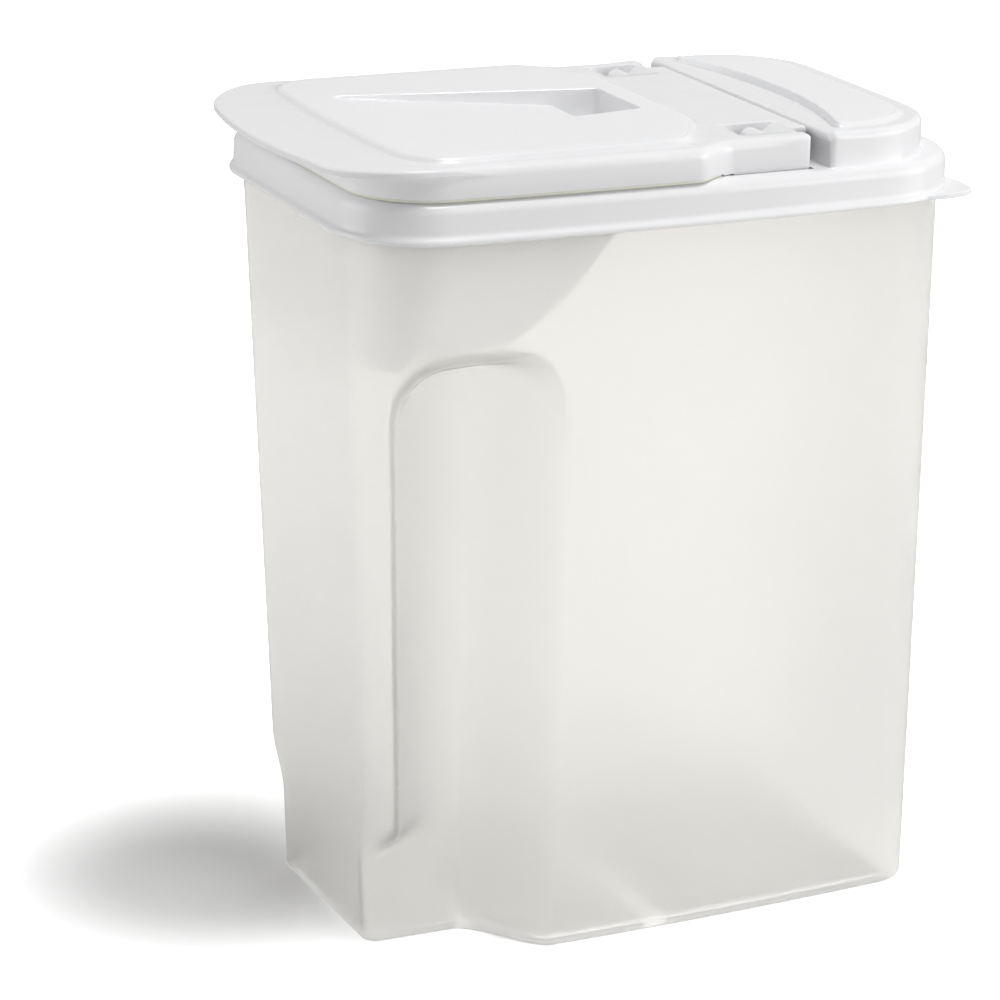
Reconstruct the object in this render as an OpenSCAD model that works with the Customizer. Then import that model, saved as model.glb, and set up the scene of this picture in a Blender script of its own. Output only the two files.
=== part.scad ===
// Cereal container with a lift-off lid and a flip-up pouring flap.
// Origin: middle of the base on the floor. Front (pouring end) towards -Y, +Z up.

/* [Tub] */
// Height of the tub from floor to rim
tub_h = 224; // [190:1:260]
// Length of the tub at the rim
tub_len = 187.2; // [170:0.2:210]
// Width of the tub at the rim
tub_w = 117.4; // [108:0.2:130]
// How far the front face leans in towards the base
front_lean = 11.6; // [4:0.2:14]
// How far the back face leans in towards the base
back_lean = 2; // [1:0.2:6]
// How far each side leans in towards the base
side_lean = 4.2; // [1:0.2:6]
// Wall thickness of the tub
tub_wall = 1.8; // [1.4:0.1:2.4]
// Radius of the upright front corners
front_r = 22; // [18:1:28]
// Radius of the upright back corners at the rim
back_r = 27; // [20:1:30]
// Radius of the upright back corners at the base
back_base_r = 11; // [8:1:16]
// How far the long sides bow outwards in the middle
side_bow = 3.2; // [1:0.2:4]
// How far the front and back bow outwards in the middle
end_bow = 0.6; // [0.3:0.1:1.5]
// Radius between the base and the walls
base_r = 2.2; // [1.5:0.1:3]

/* [Hand grips] */
// Width left between the two hand grips
grip_waist = 67; // [58:1:80]
// Height of the top of each hand grip
grip_top = 181; // [160:1:185]
// Where the grip starts to swell back out, in front of the middle
grip_front = 55; // [50:1:60]
// Where the grip meets the side again, in front of the middle
grip_back = 33; // [28:1:40]
// Radius of the upper corners of a grip
grip_r = 14; // [8:1:18]
// Height of the sloping roof of a grip
grip_roof = 10; // [6:1:16]
// Height where the front corner posts end at their inner edge
post_low = 26; // [16:1:40]
// Height of the sloping underside of the front corner posts
post_slope = 15; // [8:1:24]

/* [Lid frame] */
// How far the lid flange stands out from the tub at each end
flange_end = 3.3; // [3.3:0.1:6]
// How far the lid flange stands out from the tub at each side
flange_side = 3.3; // [3.3:0.1:6]
// How far the flange's long sides bow outwards in the middle
flange_bow = 3.4; // [2:0.2:5]
// Depth of the lid skirt below the rim of the tub
skirt_depth = 9.6; // [8:0.1:12]
// Wall thickness of the lid mouldings
lid_wall = 1.6; // [1.2:0.1:2]
// Thickness of the lid's top plate
plate_t = 2; // [1.6:0.1:3]
// How far the bead at the skirt's lower edge stands out
bead_out = 1.2; // [0.8:0.1:1.6]
// Height of the back block above the lid plate
block_h = 9.9; // [9:0.1:14]
// Height of the raised panel on the back block
block_panel_h = 1.2; // [1:0.1:2.4]
// Width of the ledge round the block's raised panel
block_ledge = 6.5; // [4:0.5:8]
// Depth of the curved groove in front of the block's panel
groove_depth = 1.2; // [0.6:0.1:1.6]
// Length that the lift tab stands out at the back corner
tab_out = 7; // [5:0.5:10]

/* [Pouring mouth] */
// Distance of the mouth's back edge in front of the middle
mouth_back = 13; // [8:1:20]
// Depth of the pouring chute below the rim at the front
chute_front_depth = 47; // [43:1:50]
// Depth of the pouring chute below the rim beside the grips
chute_side_depth = 40; // [35:1:41]
// Gap between the chute and the tub wall
chute_gap = 1.1; // [0.8:0.1:2]

/* [Flap] */
// Depth of the flap's skirt
flap_h = 8.8; // [8:0.1:12]
// Thickness of the flap's top
flap_t = 2; // [1.6:0.1:2.4]
// How far the front lip overhangs the lid frame
lip_out = 11.8; // [8:0.1:14]
// How far each side of the flap steps in to its narrow tail
tail_step = 5.9; // [5.8:0.1:7]
// Distance of the tail's end behind the hinge line, beside its tongue
tail_len = 11; // [10:0.5:11.5]
// Half width of the tongue that closes the gap to the block
tongue_half_w = 43; // [40:1:46]
// Height of the raised panel on the flap
flap_panel_h = 1.6; // [1:0.1:2.4]
// Depth of the finger pocket
pocket_depth = 8; // [6:0.2:8.2]

/* [Hinge] */
// Distance of the hinge line behind the middle
hinge_y = 30; // [26:0.5:31]
// Height of the hinge line above the lid plate
hinge_up = 5.8; // [5.6:0.1:6.3]
// Diameter of each hinge pin
pin_d = 3; // [2.6:0.1:3.4]
// Gap around each hinge pin in its knuckle
pin_gap = 0.05; // [0.02:0.01:0.1]
// Width of each hinge knuckle
knuckle_w = 9; // [7:0.5:11]
// Distance from the tail's side to the middle of a knuckle
knuckle_in = 12.8; // [12:0.2:15]

/* [Seal] */
// Height of the seal ring
seal_h = 0.7; // [0.5:0.1:1]
// Width of the seal ring
seal_w = 2.4; // [1.8:0.1:3]

/* [Hidden] */
$fn = 48;
eps = 0.01;

// Small fits that several pieces share.
seat_gap = 0.05;
side_gap = 0.3;

// Heights.
plate_z = tub_h + seat_gap;
plate_top = plate_z + plate_t;
skirt_z = tub_h - skirt_depth;
seal_top = plate_top + seal_h;
flap_z = seal_top + seat_gap;
flap_top = flap_z + flap_h;
hinge_z = plate_top + hinge_up;

// Half sizes of the flange outline.
flange_l = tub_len / 2 + flange_end;
flange_w = tub_w / 2 + flange_side;
flange_front_r = front_r + 2.5;
flange_back_r = back_r + 3;
shoulder_r = 3.6;

// Steps in the curved parts of an outline.
arc_steps = 8;
cut_steps = 7;
swell_steps = 11;
side_steps = 8;
roof_steps = 12;

function mix(a, b, t) = a + (b - a) * t;
function clamp01(t) = min(1, max(0, t));
function ease(t) = t * t * (3 - 2 * t);

// One half of an outline (x >= 0) is mirrored to give the whole.
function whole(h) = concat(h, [for (i = [len(h) - 2:-1:1]) [-h[i][0], h[i][1]]]);

// Moves every point of a closed outline inwards by d.
function inward(p, d) = [for (i = [0:len(p) - 1])
    let (a = p[(i + len(p) - 1) % len(p)], b = p[i], c = p[(i + 1) % len(p)],
         u = (b - a) / norm(b - a), v = (c - b) / norm(c - b),
         w = (u + v) / norm(u + v), k = max(0.6, u * w))
    b + [-w[1], w[0]] * d / k];

// Bows the sides of a half outline by side, and its ends by end_bow.
function bowed(p, w, l, side) = [p[0] - side * p[0] / w * pow(p[1] / l, 2),
    p[1] - end_bow * sign(p[1]) * pow(p[0] / w, 2)];

// Half of the flange outline, a rounded rectangle with bowed sides, shrunk by d.
function flange_half(d) = let (
    L = flange_l - d,
    W = flange_w - d,
    F = flange_front_r - d,
    B = flange_back_r - d)
    [for (p = concat(
        [for (i = [0:3]) [(W - F) * i / 4, -L]],
        [for (i = [0:arc_steps]) [W - F + F * sin(90 * i / arc_steps), -L + F - F * cos(90 * i / arc_steps)]],
        [for (i = [1:side_steps - 1]) [W, mix(-L + F, L - B, i / side_steps)]],
        [for (i = [0:arc_steps]) [W - B + B * cos(90 * i / arc_steps), L - B + B * sin(90 * i / arc_steps)]],
        [for (i = [3:-1:0]) [(W - B) * i / 4, L]]))
        bowed(p, flange_w, flange_l, flange_bow)];
function flange(d) = whole(flange_half(d));

// Closed solid through a stack of [outline, height] rings of equal length.
module loft(rings) {
    n = len(rings[0][0]);
    m = len(rings);
    points = [for (r = rings) for (p = r[0]) [p[0], p[1], r[1]]];
    walls = [for (j = [0:m - 2]) for (i = [0:n - 1])
        let (a = j * n + i, b = j * n + (i + 1) % n)
        each [[a, a + n, b], [b, a + n, b + n]]];
    // Each end is closed by strips between mirrored points.
    bottom = [for (i = [0:n / 2 - 1])
        each concat(i > 0 ? [[i, n - i - 1, n - i]] : [], i < n / 2 - 1 ? [[i, i + 1, n - i - 1]] : [])];
    top = [for (f = bottom) [for (i = [2:-1:0]) (m - 1) * n + f[i]]];
    polyhedron(points, concat(walls, bottom, top));
}

// Tub outline at a height: corner posts above, a narrow nose below them.
function grip_arch(y) = let (
    end = tub_len / 2 - 7.6,
    mid = -(grip_back + end) / 2,
    half = (end - grip_back) / 2 - 3,
    over = max(0, abs(y - mid) - (half - grip_r)))
    grip_top - grip_r + sqrt(max(0, grip_r * grip_r - over * over));
function tub_half(z) = let (
    t = z / tub_h,
    L = tub_len / 2,
    W = tub_w / 2 - side_lean * (1 - t),
    yf = -L + front_lean * (1 - t),
    yb = L - back_lean * (1 - t),
    rb = mix(back_base_r, back_r, t),
    cx = W - front_r,
    cy = yf + front_r,
    cut = 40 + 9 * t,
    ex = cx + front_r * sin(cut),
    ey = cy - front_r * cos(cut),
    nose_r = 5,
    g = grip_waist / 2,
    nose = ease(clamp01((z - post_low) / post_slope)),
    front = [for (i = [0:4]) mix([(g - nose_r) * i / 5, yf], [cx * i / 5, yf], nose)],
    corner = [for (i = [0:arc_steps]) mix(
        [g - nose_r + nose_r * sin(90 * i / arc_steps), yf + nose_r - nose_r * cos(90 * i / arc_steps)],
        [cx + front_r * sin(cut * i / arc_steps), cy - front_r * cos(cut * i / arc_steps)], nose)],
    slope = [for (i = [1:cut_steps]) let (s = i / cut_steps, y = mix(ey, -grip_front, s),
        q = mix(ex, g, sin(90 * s)), full = cx + sqrt(front_r * front_r - pow(min(0, y - cy), 2)),
        roof = ease(clamp01((grip_arch(y) - z) / grip_roof)))
        mix([g, mix(yf + nose_r, -grip_front, s)], [mix(full, q, roof), y], nose)],
    swell = [for (i = [1:swell_steps]) let (s = i / swell_steps, y = mix(-grip_front, -grip_back, s),
        full = cx + sqrt(front_r * front_r - pow(min(0, y - cy), 2)),
        roof = ease(clamp01((grip_arch(y) - z) / grip_roof)))
        [mix(full, mix(g, W, ease(s)), roof), y]],
    side = [for (i = [1:side_steps - 1]) [W, mix(-grip_back, yb - rb, i / side_steps)]],
    back = [for (i = [0:arc_steps]) let (a = 90 * i / arc_steps) [W - rb + rb * cos(a), yb - rb + rb * sin(a)]],
    end = [for (i = [4:-1:0]) [(W - rb) * i / 5, yb]])
    [for (p = concat(front, corner, slope, swell, side, back, end))
        bowed(p, W, L, side_bow)];
function tub_ring(z, d) = inward(whole(tub_half(max(0, z))), d);

module container_body() {
    roof_z = [for (k = [roof_steps:-1:-1]) grip_top - k * (grip_r + grip_roof) / roof_steps];
    post_z = [for (k = [0:5]) post_low + k * post_slope / 5];
    low = [for (a = [0:30:90]) [base_r * (1 - sin(a)), base_r * (1 - cos(a))]];
    outer = concat([for (f = low) [tub_ring(f[1], f[0]), f[1]]],
        [for (z = concat(post_z, [110], roof_z, [tub_h])) [tub_ring(z, 0), z]]);
    inner = concat([for (z = concat([tub_h], [for (k = [roof_steps + 1:-1:0]) roof_z[k] + tub_wall], [110],
            [for (k = [5:-1:0]) post_z[k] + tub_wall])) [tub_ring(z - tub_wall, tub_wall), z]],
        [for (k = [3:-1:0]) [tub_ring(low[k][1], low[k][0] + tub_wall), low[k][1] + tub_wall]]);
    color([0.89, 0.88, 0.86, 0.6]) loft(concat(outer, inner));
}

module box(x0, x1, y0, y1, z0, z1) {
    translate([x0, y0, z0]) cube([x1 - x0, y1 - y0, z1 - z0]);
}

// Flap outline: full width over the mouth, narrowing to a tail at the hinge.
jog_y0 = hinge_y - 28;
jog_y1 = hinge_y - 14;
flap_in = 1.8;
flap_front_in = 3.2;
tail_y = hinge_y + tail_len;
tail_r = 2;
tail_half_w = flange_w - flap_in - tail_step;
knuckle_x = tail_half_w - knuckle_in;
function flap_half(d) = let (
    h = flange_half(flap_front_in),
    w = flange_w - flap_in,
    k = w / (flange_w - flap_front_in))
    concat([for (p = h) if (p[1] < jog_y0 - 8) [p[0] * k, p[1]]],
        [for (i = [0:10]) let (s = i / 10) [mix(w, tail_half_w, ease(s)), mix(jog_y0, jog_y1, s)]],
        [[tail_half_w, mix(jog_y1, tail_y, 0.5)]],
        [for (a = [0:30:90]) [tail_half_w - tail_r + tail_r * cos(a), tail_y - tail_r + tail_r * sin(a)]],
        [[0, tail_y]]);
function flap_outline(d) = inward(whole(flap_half(0)), d);
lip_r = 26;
lip_y = -flange_l + flap_front_in - lip_out;
lip_w = flange_w - 2.7;
lip_turn = 12;
function lip_outline(d) = let (r = lip_r - d, w = lip_w - d, xs = w - r + r * sin(lip_turn),
    bow = tan(lip_turn) * xs / 2, yc = lip_y + d + bow + r * cos(lip_turn), back = -flange_l + 32)
    whole(concat([for (i = [0:3]) [xs * i / 4, lip_y + d + bow * pow(i / 4, 2)]],
        [for (i = [0:arc_steps]) let (a = mix(lip_turn, 90, i / arc_steps))
            [w - r + r * sin(a), yc - r * cos(a)]],
        [[w - 0.4, back], [0, back]]));

// Finger recess in the flap: a tapering ramp with a deeper pocket at its end.
panel_w = flange_w - 8;
panel_y0 = -flange_l + 16.4;
panel_y1 = hinge_y - 13;
recess_y0 = panel_y0 + 10.5;
recess_y1 = panel_y1 - 9;
recess_w0 = panel_w - 26;
recess_w1 = recess_w0 / 2;
pocket_y = recess_y1 - 14;
function recess_plan(d) = [[-recess_w0 - d, recess_y0 - d], [recess_w0 + d, recess_y0 - d],
    [recess_w1 + d, recess_y1 + d], [-recess_w1 - d, recess_y1 + d]];
ramp_end = 4.6;

// Back block outline, following the flange at its sides and back corners.
block_in = 5.7;
block_back_in = 8.7;
block_y = hinge_y + 16.5;
block_edge_r = 2.2;
block_back_r = flange_back_r - 3.5;
function block_half(d) = let (
    w = flange_w - block_in - d,
    y0 = block_y + d,
    y1 = flange_l - block_back_in - d,
    e = block_edge_r,
    r = block_back_r - d)
    [for (p = concat([[0, y0]], [for (a = [0:30:90]) [w - e + e * sin(a), y0 + e - e * cos(a)]],
        [for (i = [1:3]) [w, mix(y0 + e, y1 - r, i / 4)]],
        [for (a = [0:10:90]) [w - r + r * cos(a), y1 - r + r * sin(a)]], [[0, y1]]))
        bowed(p, flange_w, flange_l, flange_bow)];
module block_plan(d = 0) {
    polygon(whole(block_half(d)));
}
panel_arc_r = 143;
panel_arc_y = block_y + 13.4;
groove_w = 2.6;

module prism(z0, z1) {
    translate([0, 0, z0]) linear_extrude(z1 - z0) children();
}

// Prism drawn in the Y-Z plane and running along X.
module along_x(x0, x1) {
    translate([x0, 0, 0]) rotate([90, 0, 90]) linear_extrude(x1 - x0) children();
}

module x_rod(d, x0, x1) {
    translate([x0, hinge_y, hinge_z]) rotate([0, 90, 0]) cylinder(d = d, h = x1 - x0);
}

// Well in the plate that the flap's tail swings down into.
well_half_w = tail_half_w + side_gap;
well_y0 = jog_y1 - 0.9;
well_y1 = tail_y + 0.6;
tail_skirt_z = plate_top - 0.5;
tongue_y = block_y - 0.8;
tongue_well_y = block_y - 0.2;
tongue_well_w = tongue_half_w + side_gap;
well_z = hinge_z - norm([tongue_y - hinge_y, flap_top - hinge_z]) - 0.5;
well_wall = 1.1;
well_floor = 1;

chute_y0 = -tub_len / 2 + 10;
chute_low = tub_h - chute_front_depth;
chute_side = tub_h - chute_side_depth;
function chute_ring(d) = inward(whole(tub_half(chute_side)), tub_wall + chute_gap + d);
module chute() {
    difference() {
        prism(chute_low, plate_z + eps) polygon(chute_ring(0));
        prism(chute_low - 1, plate_z + 1) polygon(chute_ring(lid_wall));
        // Lower edge: level at the front, a step up beside the grips, then a curve up to the mouth's back.
        along_x(-flange_w, flange_w) polygon(concat(
            [[chute_y0, chute_low - 1], [chute_y0 + 6, chute_side]],
            [for (i = [0:12]) let (s = i / 12)
                [mix(-55, -mouth_back - 2, s), mix(chute_side, plate_z - 2, pow(s, 1.7))]],
            [[-mouth_back - 2, plate_z + 1], [flange_l, plate_z + 1], [flange_l, chute_low - 1]]));
        box(-flange_w, flange_w, -mouth_back, flange_l, chute_low - 1, plate_z + 1);
    }
}

module knuckle(s) {
    x0 = s * knuckle_x - knuckle_w / 2;
    x1 = x0 + knuckle_w;
    r = pin_d / 2 + 1.7;
    arm_y = hinge_y - r - 1.5;
    arm_z = hinge_z - 0.9;
    difference() {
        union() {
            x_rod(2 * r, x0, x1);
            box(x0, x1, arm_y, arm_y + 1.7, well_z - eps, arm_z);
            box(x0, x1, arm_y, hinge_y - r / 2, arm_z - 1.8, arm_z);
            box(x0 + 3.5, x1 - 3.5, well_y0 - 1, arm_y + 0.5, well_z - eps, hinge_z - 4);
        }
        x_rod(pin_d + 2 * pin_gap, x0 - 1, x1 + 1);
    }
}

module lift_tab() {
    a = 48;
    R = flange_back_r;
    c = [flange_w - R - 2, flange_l - R - 0.4];
    // Outer edge as [angle from the middle, distance beyond the flange's corner].
    edge = [[28, -0.6], [21, 1.2], [7, tab_out - 1.2], [3, tab_out]];
    outer = concat([for (e = edge) [-e[0], e[1]]], [for (i = [len(edge) - 1:-1:0]) edge[i]]);
    inner = [for (t = [28:-7:-28]) [t, -1]];
    prism(skirt_z + 0.2, skirt_z + 1.8)
        polygon([for (e = concat(outer, inner)) c + (R + e[1]) * [cos(a + e[0]), sin(a + e[0])]]);
}

// Well for the tail, with a deeper bay for its tongue, grown by d.
module well_box(d, z1, floor_t) {
    box(-well_half_w - d, well_half_w + d, well_y0 - d, well_y1 + d, well_z - floor_t, z1);
    box(-tongue_well_w - d, tongue_well_w + d, well_y0 - d, tongue_well_y + d, well_z - floor_t, z1);
}

// Disc whose edge is the curve at the front of the block's panel, shrunk by d.
module panel_front(d = 0) {
    translate([0, panel_arc_y - panel_arc_r]) circle(panel_arc_r - d, $fn = 180);
}

module lid_frame() {
    wall_in = bead_out + lid_wall;
    color([0.91, 0.91, 0.92]) {
        difference() {
            union() {
                difference() {
                    loft(concat(
                        [[flange(0.5), skirt_z], [flange(0), skirt_z + 0.6]],
                        [[flange(0), skirt_z + 1.5], [flange(bead_out), skirt_z + 2.6]],
                        [for (a = [0:30:90]) [flange(bead_out + 0.1 + shoulder_r * (1 - cos(a))),
                            plate_top - shoulder_r * (1 - sin(a))]]));
                    prism(skirt_z - 1, plate_z) polygon(flange(wall_in));
                }
                // Block, with a curved groove in front of its raised panel.
                difference() {
                    prism(plate_z + eps, plate_top + block_h) block_plan();
                    prism(plate_top + block_h - groove_depth, plate_top + block_h + 1) difference() {
                        intersection() {
                            block_plan(block_ledge - 1);
                            panel_front();
                        }
                        panel_front(groove_w);
                    }
                }
                prism(plate_top + block_h - eps, plate_top + block_h + block_panel_h) difference() {
                    block_plan(block_ledge);
                    panel_front();
                }
                well_box(well_wall, plate_z + 0.5, well_floor);
            }
            prism(plate_z - 1, plate_top + block_h - lid_wall - groove_depth) block_plan(lid_wall + 1.4);
            well_box(0, plate_top + 1, 0);
            // Mouth for pouring.
            prism(plate_z - 1, plate_top + 1) intersection() {
                polygon(chute_ring(lid_wall));
                translate([-flange_w, -flange_l]) square([2 * flange_w, flange_l - mouth_back]);
            }
        }
        chute();
        for (s = [-1, 1]) knuckle(s);
        lift_tab();
    }
}

// Soft ring around the mouth that the flap closes on.
seal_in = 0.8;
seal_y = well_y0 - 2.9;
module spout_seal() {
    back = seal_y - seal_w;
    color([0.84, 0.83, 0.77]) prism(plate_top, seal_top) difference() {
        intersection() {
            polygon(flap_outline(seal_in));
            translate([-flange_w, -flange_l]) square([2 * flange_w, flange_l + seal_y]);
        }
        intersection() {
            polygon(flap_outline(seal_in + seal_w));
            translate([-flange_w, -flange_l]) square([2 * flange_w, flange_l + back]);
        }
    }
}

// Opening over a knuckle: sloping ends run down to a gap that clears the knuckle.
hole_half_w = knuckle_w / 2 + 1.6;
arm_gap = knuckle_w / 2 + 0.6;
hole_half_l = 8.5;
hole_gap = pin_d / 2 + 2.7;
hole_drop = 3;
notch_l = 3.6;
notch_out = 6.5;
notch_drop = 1.6;

module flip_lid() {
    under = flap_top - flap_t;
    panel_z = flap_top + flap_panel_h;
    rim = 0.8;
    cheek_low = hinge_z - pin_d / 2 - 2;
    color([0.91, 0.91, 0.92]) difference() {
        union() {
            // Skirt.
            prism(flap_z, under + eps) difference() {
                polygon(flap_outline(0));
                polygon(flap_outline(lid_wall + 0.2));
            }
            // Deeper skirt round the tail, inside the well.
            prism(tail_skirt_z, flap_z + eps) difference() {
                intersection() {
                    polygon(flap_outline(0));
                    translate([-flange_w, jog_y1]) square([2 * flange_w, flange_l]);
                }
                polygon(flap_outline(lid_wall + 0.2));
            }
            // Top, with its edge rounded in steps.
            prism(under, flap_top - rim) polygon(flap_outline(0));
            prism(flap_top - rim, flap_top) polygon(flap_outline(rim));
            // Tongue that reaches back to the block.
            box(-tongue_half_w, tongue_half_w, tail_y - 2, tongue_y, under, flap_top - rim);
            box(-tongue_half_w, tongue_half_w, tail_y - 2, tongue_y - rim, flap_top - rim - eps, flap_top);
            // Lip over the front of the lid frame.
            prism(under + 0.2, flap_top - rim / 2) polygon(lip_outline(0));
            prism(flap_top - rim / 2, flap_top) polygon(lip_outline(rim / 2));
            // Raised panel.
            prism(flap_top - eps, panel_z) offset(12) offset(delta = -12)
                polygon(concat([for (i = [-4:4]) [panel_w * i / 4, panel_y0 - 3 * (1 - pow(i / 4, 2))]],
                    [[panel_w, panel_y1 - 14], [panel_w - 24, panel_y1], [24 - panel_w, panel_y1],
                    [-panel_w, panel_y1 - 14]]));
            // Shell below the finger recess.
            intersection() {
                prism(flap_z + 0.3, under + 1) polygon(recess_plan(lid_wall));
                along_x(-flange_w, flange_w) polygon([[recess_y0 - lid_wall, under + 1],
                    [recess_y0 - lid_wall, under], [pocket_y - lid_wall, panel_z - ramp_end - lid_wall],
                    [pocket_y - lid_wall, flap_z + 0.3], [recess_y1 + lid_wall, flap_z + 0.3],
                    [recess_y1 + lid_wall, under + 1]]);
            }
            // Rib that presses on the seal's back bar.
            box(-flange_w + 4, flange_w - 4, seal_y - seal_w + 0.4, seal_y - 0.4, flap_z, under + eps);
            for (s = [-1, 1]) {
                // Floor of the sloping ends.
                box(s * knuckle_x - hole_half_w, s * knuckle_x + hole_half_w, hinge_y - hole_half_l - 0.5,
                    hinge_y + hole_half_l + 0.5, flap_top - hole_drop - 1.2, under + eps);
                // Cheeks that hold the hinge pins.
                for (e = [-1, 1]) {
                    x = s * knuckle_x + e * (knuckle_w / 2 + 3.8);
                    box(x - 1.8, x + 1.8, hinge_y - 3.2, hinge_y + 3.2, cheek_low, under + eps);
                }
            }
        }
        // Finger recess.
        intersection() {
            prism(flap_z, flap_top + 4) polygon(recess_plan(0));
            along_x(-flange_w, flange_w) polygon([[recess_y0 - 1, panel_z - 0.5],
                [pocket_y, panel_z - ramp_end], [pocket_y, panel_z - pocket_depth],
                [recess_y1 - 1, panel_z - pocket_depth], [recess_y1, flap_top + 4],
                [recess_y0 - 1, flap_top + 4]]);
        }
        for (s = [-1, 1]) {
            translate([s * knuckle_x, hinge_y, 0]) {
                along_x(-hole_half_w, hole_half_w) polygon([
                    [-hole_half_l, flap_top + 1], [-hole_half_l, flap_top], [-hole_gap, flap_top - hole_drop],
                    [-hole_gap, flap_z - 1], [hole_gap, flap_z - 1],
                    [hole_gap, flap_top - hole_drop], [hole_half_l, flap_top], [hole_half_l, flap_top + 1]]);
                // Gap in the skirt for the knuckle's arm.
                box(-arm_gap, arm_gap, tail_len - 2.5, tail_len + 1, tail_skirt_z - 1, under - 0.2);
            }
            // Shallow notch beside the tongue.
            mirror([s > 0 ? 0 : 1, 0, 0]) along_x(tongue_half_w, tongue_half_w + notch_out)
                polygon([[tail_y - notch_l, flap_top], [tail_y + eps, flap_top - notch_drop],
                    [tail_y + 1, flap_top - notch_drop], [tail_y + 1, flap_top + 1], [tail_y - notch_l, flap_top + 1]]);
            x_rod(pin_d, s * knuckle_x - pin_reach, s * knuckle_x + pin_reach);
        }
    }
}

pin_reach = knuckle_w / 2 + 4.6;
module hinge_pin(s) {
    color([0.9, 0.9, 0.91]) x_rod(pin_d, s * knuckle_x - pin_reach, s * knuckle_x + pin_reach);
}
module hinge_pin_left() {
    hinge_pin(-1);
}
module hinge_pin_right() {
    hinge_pin(1);
}

container_body();
lid_frame();
spout_seal();
flip_lid();
hinge_pin_left();
hinge_pin_right();
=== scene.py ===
import math

import bmesh
import bpy
import numpy as np
from mathutils import Matrix, Vector
from mathutils.geometry import delaunay_2d_cdt


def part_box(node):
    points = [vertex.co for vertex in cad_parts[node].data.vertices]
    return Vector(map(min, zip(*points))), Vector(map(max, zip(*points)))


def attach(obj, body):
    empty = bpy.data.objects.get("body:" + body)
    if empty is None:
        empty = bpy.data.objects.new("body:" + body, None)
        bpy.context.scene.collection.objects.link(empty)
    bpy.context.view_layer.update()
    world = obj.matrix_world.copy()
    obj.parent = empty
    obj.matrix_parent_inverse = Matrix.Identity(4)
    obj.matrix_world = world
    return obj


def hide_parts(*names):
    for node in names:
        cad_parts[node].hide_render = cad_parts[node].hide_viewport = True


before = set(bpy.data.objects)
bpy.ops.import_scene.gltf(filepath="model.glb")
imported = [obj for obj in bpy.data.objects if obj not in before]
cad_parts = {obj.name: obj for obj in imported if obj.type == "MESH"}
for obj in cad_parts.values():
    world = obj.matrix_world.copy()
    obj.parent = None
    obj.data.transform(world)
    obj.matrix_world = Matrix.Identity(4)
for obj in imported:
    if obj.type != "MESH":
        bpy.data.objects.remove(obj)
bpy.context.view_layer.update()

MM = 0.001


def cad(node):
    """Lowest and highest corner of a CAD node, in millimetres."""
    lo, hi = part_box(node)
    return [v / MM for v in lo], [v / MM for v in hi]


TUB_LO, TUB_HI = cad("container_body")
LID_LO, LID_HI = cad("lid_frame")
SEAL_TOP = cad("spout_seal")[1][2]
FLAP_LO, FLAP_HI = cad("flip_lid")
PIN_LO, PIN_HI = cad("hinge_pin_right")

# Small fits that several pieces share
SEAT_GAP, SIDE_GAP = 0.05, 0.3

# Tub
TUB_H = TUB_HI[2]
TUB_LEN = TUB_HI[1] - TUB_LO[1]
TUB_W = TUB_HI[0] - TUB_LO[0]
FRONT_LEAN, BACK_LEAN, SIDE_LEAN = 11.6, 2.0, 4.2
WALL = 1.8
FRONT_R, BACK_R, BACK_BASE_R, BASE_R = 22.0, 27.0, 11.0, 2.2
SIDE_BOW, END_BOW = 3.2, 0.6
GRIP_WAIST, GRIP_TOP, GRIP_FRONT, GRIP_BACK = 67.0, 181.0, 55.0, 33.0
GRIP_R, GRIP_ROOF = 14.0, 10.0
ARCH_FRONT_IN, ARCH_SIDE_IN = 7.6, 3.0
POST_LOW, POST_SLOPE = 26.0, 15.0
# Angle at which a corner post turns into its grip: at the floor, and how much more it is at the rim.
POST_TURN, POST_TURN_MORE = 40.0, 9.0
NOSE_R = 5.0

# Lid
PLATE_T, LID_WALL, BEAD_OUT = 2.0, 1.6, 1.2
PLATE_Z = TUB_H + SEAT_GAP
PLATE_TOP = PLATE_Z + PLATE_T
SKIRT_Z = TUB_H - 9.6
SHOULDER_R = 3.6
FLANGE_L = -LID_LO[1]
FLANGE_W = LID_HI[0]
FLANGE_FRONT_R, FLANGE_BACK_R, FLANGE_BOW = FRONT_R + 2.5, BACK_R + 3, 3.4
TAB_OUT = 7.0
CHUTE_LOW = LID_LO[2]
CHUTE_SIDE = TUB_H - 40.0
CHUTE_GAP = 1.1
# The chute's lower edge: level in front of the first line, level again up to the second, then a curve.
CHUTE_NOSE_Y, CHUTE_STEP, CHUTE_SIDE_Y, CHUTE_CURVE = -82.5, 7.0, -56.0, 1.7
MOUTH_BACK = 13.0

# Hinge
HINGE_Y = (PIN_LO[1] + PIN_HI[1]) / 2
HINGE_Z = (PIN_LO[2] + PIN_HI[2]) / 2
PIN_R, PIN_GAP = (PIN_HI[2] - PIN_LO[2]) / 2, 0.05
KNUCKLE_X = (PIN_LO[0] + PIN_HI[0]) / 2
KNUCKLE_W, KNUCKLE_WALL = 9.0, 1.7
ARM_T, ARM_GAP = 1.7, KNUCKLE_W / 2 + 0.6

# Back block
PANEL_TOP = LID_HI[2]
BLOCK_TOP = PANEL_TOP - 1.2
BLOCK_Y = HINGE_Y + 16.5
BLOCK_IN, BLOCK_BACK_IN = 5.7, 8.7
BLOCK_EDGE_R, BLOCK_BACK_R = 2.2, FLANGE_BACK_R - 3.5
PANEL_ARC_R, PANEL_ARC_Y = 143.0, BLOCK_Y + 13.4
CREST_Y, CREST_BOW, CREST_W = BLOCK_Y + 9.7, 8.4, 55.0
GROOVE_DROP, GROOVE_SLOPE, GROOVE_W, GROOVE_FADE = 1.3, 1.3, 46.5, 3.5

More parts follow.
